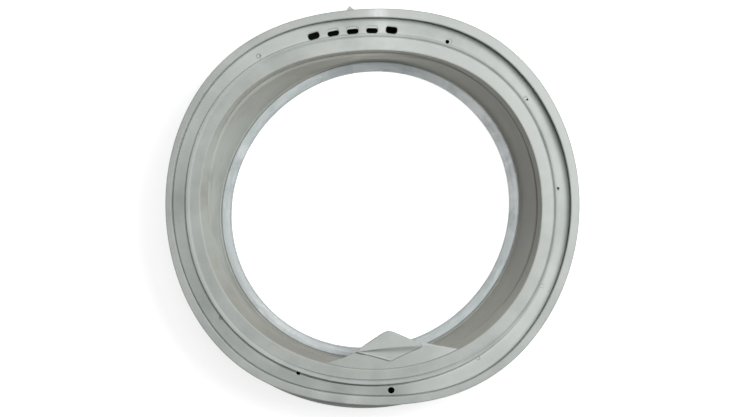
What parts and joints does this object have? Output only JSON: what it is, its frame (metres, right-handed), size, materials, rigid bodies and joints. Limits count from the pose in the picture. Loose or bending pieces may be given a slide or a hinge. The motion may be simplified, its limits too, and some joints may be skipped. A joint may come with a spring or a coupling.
{
  "type": "washing machine door seal",
  "caption": "Moulded rubber bellows seal for a front loading washing machine's door, with a clamp channel, drain holes, vent slots and a deflector flap.",
  "frame": {"origin": "on the drum opening's axis, in the plane of the rear rim's underside", "axes": "+Z from the drum towards the door, +Y to the seal's top where the slots are, +X to the right seen from the door"},
  "size_m": [0.5212, 0.5162, 0.12],
  "materials": {
    "seal_rubber": "satin moulded grey rubber"
  },
  "bodies": {
    "root": {"door_seal": "seal_rubber"}
  },
  "joints": []
}
